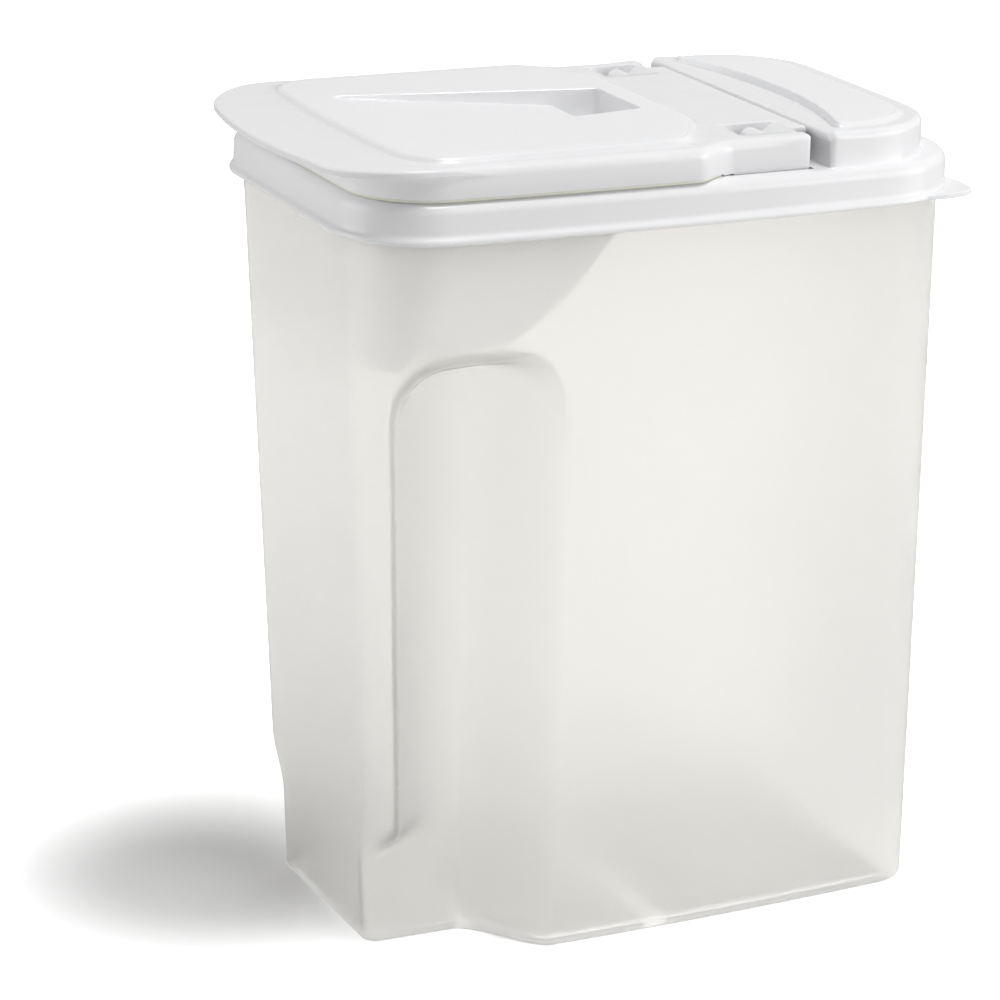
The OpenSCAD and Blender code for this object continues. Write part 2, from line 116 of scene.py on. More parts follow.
# Flap
FLAP_Z = SEAL_TOP + SEAT_GAP
FLAP_TOP = FLAP_Z + 8.8
FLAP_T = 2.0
UNDER = FLAP_TOP - FLAP_T
EDGE_R = 3.0
FLAP_IN, FLAP_FRONT_IN = 1.8, 3.2
JOG_Y0, JOG_Y1 = HINGE_Y - 28, HINGE_Y - 14
TAIL_W = FLANGE_W - FLAP_IN - 5.9
TAIL_Y = HINGE_Y + 11
TONGUE_W, TONGUE_Y, TONGUE_EDGE_R = 43.0, FLAP_HI[1], 1.9
NOTCH_L, NOTCH_OUT, NOTCH_DROP = 3.6, 6.5, 1.6
LIP_R, LIP_W, LIP_TURN = 26.0, FLANGE_W - 2.7, 12.0
LIP_Y = FLAP_LO[1]
LIP_T = 2.2
LIP_CORNER_Y, LIP_END_Y = -73.0, -58.0
LIP_DIP, LIP_DIP_Y, LIP_DIP_L = 1.0, -84.0, 20.0

# Raised panel of the flap, with the finger recess in it
FLAP_PANEL = FLAP_HI[2]
PANEL_W, PANEL_Y0, PANEL_Y1 = 54.0, -80.5, HINGE_Y - 13
RECESS_W0, RECESS_W1 = 28.0, 14.0
RECESS_Y0, RECESS_Y1 = PANEL_Y0 + 10.5, PANEL_Y1 - 9
POCKET_Y, POCKET_DEPTH = RECESS_Y1 - 14, 8.0
RAMP_START, RAMP_END = 0.6, 4.6
RECESS_WALL = 1.6

# Well for the flap's tail
WELL_W = TAIL_W + SIDE_GAP
WELL_Y0, WELL_Y1 = JOG_Y1 - 0.9, TAIL_Y + 0.6
BAY_W, BAY_Y = TONGUE_W + SIDE_GAP, BLOCK_Y - 0.2
TAIL_SKIRT_Z = PLATE_TOP - 0.5
WELL_Z = HINGE_Z - math.hypot(TONGUE_Y - HINGE_Y, FLAP_TOP - HINGE_Z) - 0.5
WELL_WALL = 1.1
SEAL_BACK = WELL_Y0 - 2.9


def mix(a, b, t):
    return a + (b - a) * t


def mix2(p, q, t):
    return (mix(p[0], q[0], t), mix(p[1], q[1], t))


def clamp01(t):
    return min(1.0, max(0.0, t))


def ease(t):
    t = clamp01(t)
    return t * t * (3 - 2 * t)


def sind(a):
    return math.sin(math.radians(a))


def cosd(a):
    return math.cos(math.radians(a))


def whole(half):
    """A closed loop from its x >= 0 half."""
    return half + [(-x, y) for x, y in half[-2:0:-1]]


def inset(loop, d, least=0.6):
    """The loop moved inwards by d, one number or one for each point."""
    n = len(loop)
    out = []
    for i in range(n):
        a, b, c = loop[i - 1], loop[i], loop[(i + 1) % n]
        u = Vector((b[0] - a[0], b[1] - a[1])).normalized()
        v = Vector((c[0] - b[0], c[1] - b[1])).normalized()
        w = (u + v).normalized()
        k = max(least, u.dot(w))
        di = d[i] if isinstance(d, (list, tuple)) else d
        out.append((b[0] - w.y * di / k, b[1] + w.x * di / k))
    return out


def bow(p, w, l, side):
    """The point moved as the long sides bow by side and the ends by END_BOW."""
    return (p[0] - side * p[0] / w * (p[1] / l) ** 2,
            p[1] - END_BOW * math.copysign(1, p[1]) * (p[0] / w) ** 2)


def oval_half(d, arc=22, side=26, end=10):
    """Half of the flange outline, shrunk by d."""
    L, W, F, B = FLANGE_L - d, FLANGE_W - d, FLANGE_FRONT_R - d, FLANGE_BACK_R - d
    pts = [((W - F) * i / end, -L) for i in range(end)]
    pts += [(W - F + F * sind(90 * i / arc), -L + F - F * cosd(90 * i / arc)) for i in range(arc + 1)]
    pts += [(W, mix(-L + F, L - B, i / side)) for i in range(1, side)]
    pts += [(W - B + B * cosd(90 * i / arc), L - B + B * sind(90 * i / arc)) for i in range(arc + 1)]
    pts += [((W - B) * i / end, L) for i in range(end - 1, -1, -1)]
    return [bow(p, FLANGE_W, FLANGE_L, FLANGE_BOW) for p in pts]


def oval(d):
    return whole(oval_half(d))


def rounded(points, radii, steps=8):
    """A closed polygon with each corner rounded to its own radius."""
    out = []
    n = len(points)
    for i in range(n):
        p = Vector(points[i])
        a = (Vector(points[i - 1]) - p).normalized()
        b = (Vector(points[(i + 1) % n]) - p).normalized()
        r = radii[i] if isinstance(radii, (list, tuple)) else radii
        half = a.angle(b) / 2
        if r <= 0 or abs(half - math.pi / 2) < 0.01:
            out.append(tuple(p))
            continue
        reach = r / math.tan(half)
        centre = p + (a + b).normalized() * (r / math.sin(half))
        s, e = p + a * reach - centre, p + b * reach - centre
        a0 = math.atan2(s.y, s.x)
        turn = (math.atan2(e.y, e.x) - a0 + math.pi) % (2 * math.pi) - math.pi
        for k in range(steps + 1):
            t = a0 + turn * k / steps
            out.append((centre.x + r * math.cos(t), centre.y + r * math.sin(t)))
    return out


def dense(loop, step):
    """The loop with its long edges divided."""
    out = []
    for i, p in enumerate(loop):
        q = loop[(i + 1) % len(loop)]
        k = max(1, int(math.hypot(q[0] - p[0], q[1] - p[1]) / step))
        out += [mix2(p, q, j / k) for j in range(k)]
    return out


def inside(pts, loop):
    """Which of the points lie inside the loop."""
    p = np.asarray(pts, float)
    a = np.asarray(loop, float)
    b = np.roll(a, -1, axis=0)
    hit = np.zeros(len(p), bool)
    for (ax, ay), (bx, by) in zip(a, b):
        if ay == by:
            continue
        across = (ay > p[:, 1]) != (by > p[:, 1])
        hit ^= across & (p[:, 0] < (bx - ax) * (p[:, 1] - ay) / (by - ay) + ax)
    return hit


class Shell:
    """Collects rings, skins and sheets in millimetres, then makes one Blender object."""

    def __init__(self):
        self.verts, self.faces, self.marks = [], [], []

    def ring(self, loop, z):
        start = len(self.verts)
        zs = z if isinstance(z, (list, tuple)) else [z] * len(loop)
        self.verts += [(p[0], p[1], zz) for p, zz in zip(loop, zs)]
        return list(range(start, start + len(loop)))

    def skin(self, rings, mark=0, closed=True):
        for a, b in zip(rings, rings[1:]):
            n = len(a)
            for i in range(n if closed else n - 1):
                j = (i + 1) % n
                self.faces.append((a[i], a[j], b[j], b[i]))
                self.marks.append(mark)

    def fill(self, ring, mark=0):
        self.faces.append(tuple(ring))
        self.marks.append(mark)

    def sheet(self, outer, holes=(), height=None, step=3.0, mark=0, extra=(), lines=()):
        """Triangles over the region inside the ring outer and outside the rings in holes."""
        loops = [outer] + list(holes)
        pts, zs, edges = [], [], []
        for ring in loops:
            s = len(pts)
            pts += [self.verts[i][:2] for i in ring]
            zs += [self.verts[i][2] for i in ring]
            edges += [(s + i, s + (i + 1) % len(ring)) for i in range(len(ring))]
        flat = [[self.verts[i][:2] for i in ring] for ring in loops]
        if height:
            xs = [p[0] for p in flat[0]]
            ys = [p[1] for p in flat[0]]
            grid = [(x, y) for x in np.arange(math.floor(min(xs)), max(xs), step)
                    for y in np.arange(math.floor(min(ys)), max(ys), step)] + list(extra)
            keep = inside(grid, flat[0])
            for h in flat[1:]:
                keep &= ~inside(grid, h)
            near = np.concatenate([np.asarray(f, float) for f in flat])
            g = np.asarray(grid, float)
            for k in np.nonzero(keep)[0]:
                if ((near - g[k]) ** 2).sum(1).min() > (0.3 * step) ** 2:
                    pts.append(tuple(g[k]))
                    zs.append(None)
            for line in lines:
                s = len(pts)
                pts += list(line)
                zs += [None] * len(line)
                edges += [(s + i, s + i + 1) for i in range(len(line) - 1)]
        vo, _, fo, orig, _, _ = delaunay_2d_cdt([Vector(p) for p in pts], edges, [], 0, 1e-6)
        mid = [(sum(vo[i].x for i in f) / 3, sum(vo[i].y for i in f) / 3) for f in fo]
        keep = inside(mid, flat[0])
        for h in flat[1:]:
            keep &= ~inside(mid, h)
        base = len(self.verts)
        for v, o in zip(vo, orig):
            known = [zs[i] for i in o if zs[i] is not None]
            z = known[0] if known else (height(v.x, v.y) if height else 0.0)
            self.verts.append((v.x, v.y, z))
        for f, k in zip(fo, keep):
            if k:
                self.faces.append(tuple(base + i for i in f))
                self.marks.append(mark)

    def solid(self, loops_z, mark=0):
        """A closed solid through a stack of (loop, z) rings."""
        rings = [self.ring(l, z) for l, z in loops_z]
        self.skin(rings, mark)
        self.fill(rings[0][::-1], mark)
        self.fill(rings[-1], mark)

    def make(self, name, materials, sharp=38.0):
        me = bpy.data.meshes.new(name)
        me.from_pydata([(x * MM, y * MM, z * MM) for x, y, z in self.verts], [], self.faces)
        for p, m in zip(me.polygons, self.marks):
            p.material_index = m
        bm = bmesh.new()
        bm.from_mesh(me)
        bmesh.ops.remove_doubles(bm, verts=bm.verts, dist=0.000004)
        bmesh.ops.delete(bm, geom=[v for v in bm.verts if not v.link_faces], context="VERTS")
        bmesh.ops.recalc_face_normals(bm, faces=bm.faces)
        limit = math.radians(sharp)
        for e in bm.edges:
            e.smooth = len(e.link_faces) == 2 and e.calc_face_angle(0) < limit
        for f in bm.faces:
            f.smooth = True
        bm.to_mesh(me)
        bm.free()
        for m in materials:
            me.materials.append(m)
        ob = bpy.data.objects.new(name, me)
        bpy.context.scene.collection.objects.link(ob)
        return ob


# ---------------------------------------------------------------- tub
def grip_arch(y):
    """Height of a grip's upper edge, y in front of or behind the middle."""
    end = TUB_LEN / 2 - ARCH_FRONT_IN
    mid, half = -(GRIP_BACK + end) / 2, (end - GRIP_BACK) / 2 - ARCH_SIDE_IN
    over = max(0.0, abs(y - mid) - (half - GRIP_R))
    return GRIP_TOP - GRIP_R + math.sqrt(max(0.0, GRIP_R * GRIP_R - over * over))


def tub_half(z, nf=7, nc=20, ns=22, nw=30, nd=14, nb=20):
    """Half of the tub's outline at a height: corner posts above, a narrow nose below them.

    The counts are of the points along the front, post, slope, swell, side and back corner.
    """
    t = z / TUB_H
    L = TUB_LEN / 2
    W = TUB_W / 2 - SIDE_LEAN * (1 - t)
    yf = -L + FRONT_LEAN * (1 - t)
    yb = L - BACK_LEAN * (1 - t)
    rb = mix(BACK_BASE_R, BACK_R, t)
    cx, cy = W - FRONT_R, yf + FRONT_R
    cut = POST_TURN + POST_TURN_MORE * t
    ex, ey = cx + FRONT_R * sind(cut), cy - FRONT_R * cosd(cut)
    g = GRIP_WAIST / 2
    nose = ease((z - POST_LOW) / POST_SLOPE)

    def full(y):
        return cx + math.sqrt(FRONT_R * FRONT_R - min(0.0, y - cy) ** 2)

    pts = [mix2(((g - NOSE_R) * i / nf, yf), (cx * i / nf, yf), nose) for i in range(nf)]
    for i in range(nc + 1):
        s = 1 - (1 - i / nc) ** 1.5
        pts.append(mix2((g - NOSE_R + NOSE_R * sind(90 * s), yf + NOSE_R - NOSE_R * cosd(90 * s)),
                        (cx + FRONT_R * sind(cut * s), cy - FRONT_R * cosd(cut * s)), nose))
    edge = len(pts) - 1
    for i in range(1, ns + 1):
        s = (i / ns) ** 1.4
        y = mix(ey, -GRIP_FRONT, s)
        roof = ease((grip_arch(y) - z) / GRIP_ROOF)
        pts.append(mix2((g, mix(yf + NOSE_R, -GRIP_FRONT, s)),
                        (mix(full(y), mix(ex, g, sind(90 * s)), roof), y), nose))
    for i in range(1, nw + 1):
        s = i / nw
        y = mix(-GRIP_FRONT, -GRIP_BACK, s)
        roof = ease((grip_arch(y) - z) / GRIP_ROOF)
        pts.append((mix(full(y), mix(g, W, ease(s)), roof), y))
    pts += [(W, mix(-GRIP_BACK, yb - rb, i / nd)) for i in range(1, nd)]
    pts += [(W - rb + rb * cosd(90 * i / nb), yb - rb + rb * sind(90 * i / nb)) for i in range(nb + 1)]
    pts += [((W - rb) * i / nf, yb) for i in range(nf - 1, -1, -1)]
    # The upright edge of each post is eased over a few points.
    for _ in range(5):
        for i in range(edge - 4, edge + 5):
            a, b, c = pts[i - 1], pts[i], pts[i + 1]
            pts[i] = (0.25 * a[0] + 0.5 * b[0] + 0.25 * c[0], 0.25 * a[1] + 0.5 * b[1] + 0.25 * c[1])
    return [bow(p, W, L, SIDE_BOW) for p in pts]


def tub_ring(z, d):
    return inset(whole(tub_half(max(0.0, z))), d)


def tub_rows():
    """Heights of the tub's rings, close together where its posts and its grips end."""
    post_top, roof = POST_LOW + POST_SLOPE, GRIP_TOP - GRIP_R - GRIP_ROOF
    spans = [(BASE_R + 1, POST_LOW, 7), (POST_LOW + 1, post_top + 1, 16), (post_top + 6, roof - 3, 18),
             (roof - 1, GRIP_TOP + 1, 34), (GRIP_TOP + 5, TUB_H, 8)]
    return [z for low, high, count in spans for z in np.linspace(low, high, count)]


def build_tub(materials):
    s = Shell()
    foot = [(BASE_R * (1 - sind(a)), BASE_R * (1 - cosd(a))) for a in range(0, 91, 15)]
    rows = tub_rows()
    outer = [s.ring(tub_ring(z, d), z) for d, z in foot]
    outer += [s.ring(tub_ring(z, 0), z) for z in rows]
    inner = [s.ring(tub_ring(z, d + WALL), z + WALL) for d, z in foot]
    inner += [s.ring(tub_ring(z, WALL), z + WALL) for z in rows if z + WALL < TUB_H - 0.5]
    inner.append(s.ring(tub_ring(TUB_H - WALL, WALL), TUB_H))
    s.skin(outer)
    s.skin(inner)
    s.skin([outer[-1], inner[-1]])
    s.sheet(outer[0])
    s.sheet(inner[0])
    return s.make("tub_shell", materials, sharp=50)


# ---------------------------------------------------------------- lid frame
def chute_ring(d):
    return inset(whole(tub_half(CHUTE_SIDE, 5, 14, 10, 10, 8, 10)), WALL + CHUTE_GAP + d)


def block_loop(d=0.0):
    """The back block's outline, shrunk by d."""
    w, y0, y1 = FLANGE_W - BLOCK_IN - d, BLOCK_Y + min(d, 0.4 * d), FLANGE_L - BLOCK_BACK_IN - d
    e, r = max(0.4, BLOCK_EDGE_R - 0.5 * d), BLOCK_BACK_R - d
    pts = [((w - e) * i / 20, y0) for i in range(20)]
    pts += [(w - e + e * sind(a), y0 + e - e * cosd(a)) for a in range(0, 91, 9)]
    pts += [(w, mix(y0 + e, y1 - r, i / 6)) for i in range(1, 6)]
    pts += [(w - r + r * cosd(a), y1 - r + r * sind(a)) for a in range(0, 91, 5)]
    pts += [((w - r) * i / 8, y1) for i in range(7, -1, -1)]
    return whole([bow(p, FLANGE_W, FLANGE_L, FLANGE_BOW) for p in pts])


def well_plan(d=0.0):
    """Outline of the tail's well and the deeper bay for its tongue, grown by d."""
    half = [(0, WELL_Y0 - d), (WELL_W + d, WELL_Y0 - d), (WELL_W + d, WELL_Y1 + d),
            (BAY_W + d, WELL_Y1 + d), (BAY_W + d, BAY_Y + d), (0, BAY_Y + d)]
    return dense(whole(half), 6)


def clip_back(loop, y):
    """The part of a loop in front of a line, closed along it."""
    front = [p for p in loop if p[1] < y - 0.5]
    right = max(front, key=lambda p: (p[1], p[0]))
    xr = max(p[0] for p in front if p[1] > right[1] - 4)
    start = next(i for i, p in enumerate(front) if p[0] < 0 and p[1] > y - 8)
    return front[:start] + [(mix(xr, -xr, i / 12), y) for i in range(13)] + front[start:]


def crest_y(x):
    """Where the apron in front of the groove ends."""
    return CREST_Y - CREST_BOW * (x / CREST_W) ** 2


def panel_front(x):
    """Front edge of the block's raised panel."""
    return PANEL_ARC_Y - PANEL_ARC_R + math.sqrt(PANEL_ARC_R ** 2 - x * x)


def block_height(x, y):
    """Height of the block's top in front of its raised panel."""
    crest, wall = crest_y(x), panel_front(x)
    ends = 1 - ease((abs(x) - GROOVE_W) / GROOVE_FADE)
    apron = mix(BLOCK_TOP - 0.5, BLOCK_TOP + 0.25, ease((y - BLOCK_Y) / (crest - BLOCK_Y)))
    if y <= crest:
        return apron
    groove = GROOVE_DROP * ease((y - crest) / GROOVE_SLOPE) * ends
    if y <= wall:
        return apron - groove
    return mix(apron - groove, BLOCK_TOP, ease((y - wall) / 3))


def block_top(loop, behind):
    """Heights of the block's top at the loop's points; flat from a distance behind the panel's edge."""
    return [block_height(x, y) if y < panel_front(x) + behind else BLOCK_TOP for x, y in loop]


def block_foot(d):
    """The block's outline, kept clear of the tongue's bay."""
    return [(x, max(y, BAY_Y + 0.1)) for x, y in block_loop(d)]


def build_block(s, foot_ring):
    r = 2.3

    # The block's foot runs into the plate in a small cove.
    rings = [foot_ring]
    cove = [(-0.45, 0.15), (-0.35, 0.5), (-0.25, 1.2), (-0.15, 2.6), (0.0, BLOCK_TOP - PLATE_TOP - r - 0.8)]
    for d, up in cove:
        rings.append(s.ring(block_foot(d), PLATE_TOP + up))
    for a in range(0, 91, 9):
        loop = block_loop(r * (1 - cosd(a)))
        rings.append(s.ring(loop, [z - r * (1 - sind(a)) for z in block_top(loop, 4)]))
    s.skin(rings)
    # Raised panel with a hollow front edge and soft sides.
    side = block_loop(5.4)
    back = [p for p in side if p[1] > panel_front(p[0]) + 3]
    right = [p for p in back if p[0] > 0]
    left = [p for p in back if p[0] <= 0]
    reach = max(x for x, y in side) - 2.4
    arc = [(x, panel_front(x)) for x in np.linspace(-reach, reach, 61)]
    turn = [(reach + 1.5, panel_front(reach) + 0.5), (reach + 2.2, panel_front(reach) + 1.6)]
    loop = arc + turn + right + left + [(-x, y) for x, y in turn[::-1]]
    base_z = block_top(loop, 3)
    outer = s.ring(loop, base_z)
    extra = [(x, crest_y(x) + dy) for x in np.arange(-54, 55, 1.5)
             for dy in (-2.0, -1.0, -0.4, 0.1, 0.5, 0.9, 1.3, 2.0, 2.8)]
    s.sheet(rings[-1], [outer], block_height, 2.4, extra=extra)
    # The sides slope gently, the front rises steeply.
    front = [1 - ease((y - panel_front(x)) / 4) for x, y in loop]
    slope = [outer]
    for d, rise in ((0.25, 0.05), (0.7, 0.28), (1.2, 0.55), (1.7, 0.8), (2.2, 0.95), (2.7, 1.0)):
        steep = min(1.0, 2.6 * rise)
        step = inset(loop, [d * mix(1, 0.45, f) for f in front])
        slope.append(s.ring(step, [mix(z, PANEL_TOP, mix(rise, steep, f)) for z, f in zip(base_z, front)]))
    s.skin(slope)
    s.sheet(slope[-1], mark=1)


def chute_bottom(y):
    """Height of the chute's lower edge at a distance from the middle."""
    if y < CHUTE_NOSE_Y:
        return CHUTE_LOW
    if y < CHUTE_SIDE_Y:
        return mix(CHUTE_LOW, CHUTE_SIDE, ease((y - CHUTE_NOSE_Y) / CHUTE_STEP))
    rise = clamp01((y - CHUTE_SIDE_Y) / (-CHUTE_SIDE_Y - MOUTH_BACK)) ** CHUTE_CURVE
    return mix(CHUTE_SIDE, PLATE_Z - 1, rise)


def build_chute(s):
    steps, rim = 8, 0.3

    def open_loop(d):
        loop = chute_ring(d)
        half = [p for p in loop[:len(loop) // 2 + 1] if p[1] < -MOUTH_BACK]
        return [(-x, y) for x, y in half[:0:-1]] + half

    def trimmed(loop, count):
        k = (len(loop) - count) // 2
        return loop[k:len(loop) - k]

    def wall(loop):
        return [s.ring(loop, [mix(PLATE_Z + 0.02, chute_bottom(y) + rim, i / steps) for x, y in loop])
                for i in range(steps + 1)]

    outer, inner = open_loop(0), open_loop(LID_WALL)
    count = min(len(outer), len(inner))
    outer, inner = trimmed(outer, count), trimmed(inner, count)
    outer_rows, inner_rows = wall(outer), wall(inner)
    low = [s.ring([mix2(p, q, share) for p, q in zip(outer, inner)], [chute_bottom(p[1]) for p in outer])
           for share in (0.25, 0.75)]
    rows = outer_rows + low + inner_rows[::-1]
    s.skin(rows + [rows[0]], closed=False)
    for e in (0, -1):
        s.fill([r[e] for r in rows])


def tube_x(s, radius, bore, x0, x1, seg=40):
    """A short tube along x round the hinge line."""
    def circle(r, x):
        start = len(s.verts)
        for k in range(seg):
            a = 2 * math.pi * k / seg
            s.verts.append((x, HINGE_Y + r * math.cos(a), HINGE_Z + r * math.sin(a)))
        return list(range(start, start + seg))

    s.skin([circle(bore, x0), circle(radius - 0.3, x0), circle(radius, x0 + 0.3), circle(radius, x1 - 0.3),
            circle(radius - 0.3, x1), circle(bore, x1), circle(bore, x0)])


def soft_box(s, x0, x1, y0, y1, z0, z1, r):
    """A box with its upright and upper edges broken."""
    loop = rounded([(x0, y0), (x1, y0), (x1, y1), (x0, y1)], r, 3)
    s.solid([(loop, z0), (loop, z1 - r), (inset(loop, r * 0.3), z1 - r * 0.3), (inset(loop, r), z1)])


def build_knuckle(s, side):
    x0, x1 = side * KNUCKLE_X - KNUCKLE_W / 2, side * KNUCKLE_X + KNUCKLE_W / 2
    r = PIN_R + KNUCKLE_WALL
    arm_y, arm_z, low = HINGE_Y - r - 1.5, HINGE_Z - 0.9, WELL_Z - 0.6
    tube_x(s, r, PIN_R + PIN_GAP, x0, x1)
    soft_box(s, x0, x1, arm_y, arm_y + ARM_T, low, arm_z, 0.1)
    soft_box(s, x0, x1, arm_y, HINGE_Y - r / 2, arm_z - 1.8, arm_z, 0.1)
    soft_box(s, x0 + 3.5, x1 - 3.5, WELL_Y0 - 0.6, arm_y + 0.5, low, HINGE_Z - 4, 0.2)


def build_tab(s):
    a, R = 48, FLANGE_BACK_R
    cx, cy = FLANGE_W - R - 2, FLANGE_L - R - 0.4
    # Outer edge as (angle from the tab's middle, distance beyond the flange's corner).
    edge = [(28, -0.7), (25, 0.0), (21, 1.1), (16, 2.7), (11, 4.3), (8, 5.2), (6, 5.9), (4, 6.5), (2, 6.8)]
    outer = [(-t, out) for t, out in edge] + [(0, TAB_OUT - 0.1)] + edge[::-1]
    ring = outer + [(t, -1) for t in range(28, -29, -7)]
    plan = [(cx + (R + out) * cosd(a + t), cy + (R + out) * sind(a + t)) for t, out in ring]
    s.solid([(inset(plan, 0.3), SKIRT_Z + 0.2), (plan, SKIRT_Z + 0.5), (plan, SKIRT_Z + 1.4),
             (inset(plan, 0.4), SKIRT_Z + 1.8)])


def build_lid(materials):
    s = Shell()
    # Skirt and bead as (distance in, height above the skirt's lower edge), then the shoulder.
    bead = [(BEAD_OUT + LID_WALL, 0.0), (1.5, 0.0), (0.8, 0.08), (0.3, 0.25), (0.06, 0.55), (0.0, 0.95),
            (0.08, 1.35), (0.32, 1.75), (0.65, 2.1), (0.95, 2.45), (1.13, 2.9), (1.2, 3.5)]
    profile = [(BEAD_OUT + LID_WALL, PLATE_Z)] + [(d, SKIRT_Z + up) for d, up in bead]
    top_in = BEAD_OUT + 0.1 + SHOULDER_R
    profile += [(top_in - SHOULDER_R * cosd(a), PLATE_TOP - SHOULDER_R * (1 - sind(a)))
                for a in range(0, 91, 7)]
    rings = [s.ring(oval(d), z) for d, z in profile]
    s.skin(rings)
    mouth = clip_back(chute_ring(LID_WALL), -MOUTH_BACK)
    foot = block_foot(-0.6)
    mouth_top, mouth_low = s.ring(mouth, PLATE_TOP), s.ring(mouth, PLATE_Z)
    well_top, well_low = s.ring(well_plan(), PLATE_TOP), s.ring(well_plan(), WELL_Z)
    foot_top = s.ring(foot, PLATE_TOP)
    s.skin([mouth_top, mouth_low])
    s.sheet(rings[-1], [mouth_top, well_top, foot_top])
    # Well, open at the top.
    s.skin([well_top, well_low])
    s.sheet(well_low)
    around_well = well_plan(WELL_WALL)
    shell_top, shell_low = s.ring(around_well, PLATE_Z), s.ring(around_well, WELL_Z - 1)
    s.skin([shell_top, shell_low])
    s.sheet(shell_low)
    # The block is hollow from below.
    roof = BLOCK_TOP - LID_WALL - 1.2
    plan = [(x, max(y, BLOCK_Y + 2.6)) for x, y in block_loop(LID_WALL + 1.4)]
    hollow = [s.ring(plan, PLATE_Z), s.ring(plan, roof - 0.6), s.ring(inset(plan, 0.6), roof)]
    s.skin(hollow)
    s.sheet(hollow[-1])
    s.sheet(rings[0], [mouth_low, shell_top, hollow[0]])
    build_block(s, foot_top)
    build_chute(s)
    for side in (-1, 1):
        build_knuckle(s, side)
    build_tab(s)
    return s.make("lid_moulding", materials)


# ---------------------------------------------------------------- flap
def skirt_half():
    """Half of the flap's skirt outline, down to the corner of the tail."""
    w = FLANGE_W - FLAP_IN
    k = w / (FLANGE_W - FLAP_FRONT_IN)
    pts = [(p[0] * k, p[1]) for p in oval_half(FLAP_FRONT_IN, side=44) if p[1] < JOG_Y0 - 4]
    pts += [(mix(w, TAIL_W, ease(i / 18)), mix(JOG_Y0, JOG_Y1, i / 18)) for i in range(19)]
    pts += [(TAIL_W, JOG_Y1 + 0.1)] + [(TAIL_W, mix(JOG_Y1, TAIL_Y - 2, i / 8)) for i in range(1, 8)]
    pts += [(TAIL_W - 2 + 2 * cosd(a), TAIL_Y - 2 + 2 * sind(a)) for a in range(0, 91, 15)]
    return pts


def tail_half():
    """The tail's end, from its corner to the middle.

    Each row holds a point of the skirt, a point of the top, the edge's radius, how far the top drops, and 1
    for the tongue.
    """
    notch, tongue = TONGUE_W + NOTCH_OUT, TONGUE_W
    outer, inner = KNUCKLE_X + ARM_GAP, KNUCKLE_X - ARM_GAP
    rows = [((x, TAIL_Y), (x, TAIL_Y), 1.2, 0.0, 0.0) for x in (notch + 1.6, notch + 0.8, notch + 0.1)]
    # The floor of the notch, with points on both sides of the gap for the knuckle's arm.
    xs = [notch, notch - 1.2, outer + 0.9, outer + 0.1, outer - 0.1, outer - 1.2, tongue + 1.3, tongue + 0.5]
    rows += [((x, TAIL_Y), (x, TAIL_Y), 0.4, NOTCH_DROP, 0.0) for x in xs]
    # The tongue's side, its corner and its end.
    side = [(tongue, TAIL_Y - 0.2), (tongue, TAIL_Y + 0.6), (tongue, mix(TAIL_Y, TONGUE_Y, 0.4)),
            (tongue, TONGUE_Y - 1.4)]
    side += [(tongue - 1.2 + 1.2 * cosd(a), TONGUE_Y - 1.2 + 1.2 * sind(a)) for a in range(15, 91, 15)]
    for i, p in enumerate(side):
        radius = mix(0.6, TONGUE_EDGE_R, ease(i / (len(side) - 1)))
        rows.append(((tongue + 0.35 - 0.08 * i, TAIL_Y), p, radius, 0.0, 1.0))
    xs = [tongue - 2.4, mix(tongue - 2.4, inner, 0.5), inner + 0.1, inner - 0.1]
    xs += list(np.linspace(inner - 2, 0, 14))
    rows += [((x, TAIL_Y), (x, TONGUE_Y), TONGUE_EDGE_R, 0.0, 1.0) for x in xs]
    return rows


def lip_point(t):
    """A point on the lip's edge: t from 0 in the middle of the front to 1 at the widest point of the side."""
    xs = LIP_W - LIP_R + LIP_R * sind(LIP_TURN)
    dip = math.tan(math.radians(LIP_TURN)) * xs / 2
    yc = LIP_Y + dip + LIP_R * cosd(LIP_TURN)
    split = 0.45
    if t < split:
        u = t / split
        return (xs * u, LIP_Y + dip * u * u)
    a = mix(LIP_TURN, 90, (t - split) / (1 - split))
    return (LIP_W - LIP_R + LIP_R * sind(a), yc - LIP_R * cosd(a))


def build_hole(s, side):
    """Opening over a knuckle, with ends that slope down to it.

    Gives its edges in the flap's top and in its underside.
    """
    cx, slope = side * KNUCKLE_X, 3.0
    half_w, half_l, gap = KNUCKLE_W / 2 + 1.6, 8.5, PIN_R + 2.7

    def plan(w, l, r):
        corners = [(cx - w, HINGE_Y - l), (cx + w, HINGE_Y - l), (cx + w, HINGE_Y + l), (cx - w, HINGE_Y + l)]
        return dense(rounded(corners, r, 5), 1.0)

    def floor_z(x, y):
        return FLAP_TOP - slope * clamp01((half_l - abs(y - HINGE_Y)) / (half_l - gap))

    rim = plan(half_w, half_l, 0.8)
    stack = [s.ring(inset(rim, -0.4), FLAP_TOP), s.ring(inset(rim, -0.15), FLAP_TOP - 0.08),
             s.ring(rim, [min(FLAP_TOP - 0.25, floor_z(x, y)) for x, y in rim])]
    s.skin(stack)
    inner = plan(half_w - 0.2, gap, 0.2)
    lip, low = s.ring(inner, FLAP_TOP - slope), s.ring(inner, FLAP_TOP - slope - 1.2)
    s.sheet(stack[-1], [lip], floor_z, 1.0)
    s.skin([lip, low])
    shell = plan(half_w + 1.0, half_l + 0.9, 0.4)
    top, base = s.ring(shell, UNDER), s.ring(shell, FLAP_TOP - slope - 1.2)
    s.skin([top, base])
    s.sheet(base, [low])
    return stack[0], top


def front_dip(y):
    """How far the flap's top dips towards the front of its lip."""
    return LIP_DIP * ease((LIP_DIP_Y - y) / LIP_DIP_L)


